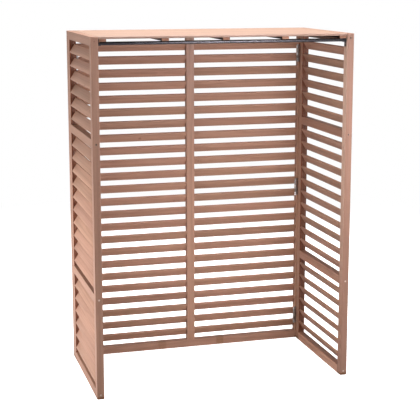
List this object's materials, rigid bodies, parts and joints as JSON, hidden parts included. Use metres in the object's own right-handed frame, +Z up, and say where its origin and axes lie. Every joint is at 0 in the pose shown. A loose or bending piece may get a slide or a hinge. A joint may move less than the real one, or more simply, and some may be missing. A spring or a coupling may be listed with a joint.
{
  "type": "air conditioner screen",
  "caption": "Louvred wooden screen for an air conditioner's outdoor unit, open to the wall: front panel, hinged side panels and a planked lift-off roof.",
  "frame": {"origin": "on the ground, under the middle of the whole screen", "axes": "+Z up, +Y out of the louvred front panel and away from the wall, -Y the open side that faces the wall, +X across the width"},
  "size_m": [0.894, 0.48, 1.2],
  "materials": {
    "frame_wood": "reddish-brown outdoor stain, worn matt",
    "slat_wood": "reddish-brown outdoor stain, worn matt",
    "roof_wood": "reddish-brown outdoor stain, worn matt",
    "grey_steel": "plain grey coat, satin",
    "zinc": "zinc-plated, dull"
  },
  "bodies": {
    "front_panel": {"front_left_stile": "frame_wood", "front_right_stile": "frame_wood", "front_centre_stile": "frame_wood", "front_top_rail": "frame_wood", "front_bottom_rail": "frame_wood", "front_left_slats": "slat_wood", "front_right_slats": "slat_wood", "left_upper_hinge_front_leaf": "zinc", "left_middle_hinge_front_leaf": "zinc", "left_lower_hinge_front_leaf": "zinc", "right_upper_hinge_front_leaf": "zinc", "right_middle_hinge_front_leaf": "zinc", "right_lower_hinge_front_leaf": "zinc"},
    "left_panel": {"left_wall_stile": "frame_wood", "left_hinge_stile": "frame_wood", "left_top_rail": "frame_wood", "left_upper_mid_rail": "frame_wood", "left_lower_mid_rail": "frame_wood", "left_bottom_rail": "frame_wood", "left_upper_slats": "slat_wood", "left_middle_slats": "slat_wood", "left_lower_slats": "slat_wood", "left_near_support_angle": "zinc", "left_far_support_angle": "zinc", "left_upper_hinge_side_leaf": "zinc", "left_middle_hinge_side_leaf": "zinc", "left_lower_hinge_side_leaf": "zinc"},
    "right_panel": {"right_wall_stile": "frame_wood", "right_hinge_stile": "frame_wood", "right_top_rail": "frame_wood", "right_upper_mid_rail": "frame_wood", "right_lower_mid_rail": "frame_wood", "right_bottom_rail": "frame_wood", "right_upper_slats": "slat_wood", "right_middle_slats": "slat_wood", "right_lower_slats": "slat_wood", "right_near_support_angle": "zinc", "right_far_support_angle": "zinc", "right_upper_hinge_side_leaf": "zinc", "right_middle_hinge_side_leaf": "zinc", "right_lower_hinge_side_leaf": "zinc"},
    "roof": {"roof_plank_1": "roof_wood", "roof_plank_2": "roof_wood", "roof_plank_3": "roof_wood", "roof_plank_4": "roof_wood", "roof_plank_5": "roof_wood", "roof_plank_6": "roof_wood", "roof_plank_7": "roof_wood", "roof_batten_1": "frame_wood", "roof_batten_2": "frame_wood", "roof_batten_3": "frame_wood", "roof_batten_4": "frame_wood", "roof_batten_5": "frame_wood", "near_roof_bar": "grey_steel", "far_roof_bar": "grey_steel"}
  },
  "joints": [
    {"name": "roof_lift", "type": "slide", "parent": "front_panel", "child": "roof", "axis": [0, 0, 1], "range_m": [0, 0.45]},
    {"name": "left_fold", "type": "hinge", "parent": "front_panel", "child": "left_panel", "pos_m": [-0.4135, 0.2127, 0.6], "axis": [0, 0, 1], "range_deg": [0, 90]},
    {"name": "right_fold", "type": "hinge", "parent": "front_panel", "child": "right_panel", "pos_m": [0.4135, 0.2127, 0.6], "axis": [0, 0, -1], "range_deg": [0, 82]}
  ],
  "couplings": [
    {"joint": "left_fold", "follows": "roof_lift", "rad_per_m": 3.4906},
    {"joint": "right_fold", "follows": "roof_lift", "rad_per_m": 3.1803}
  ]
}
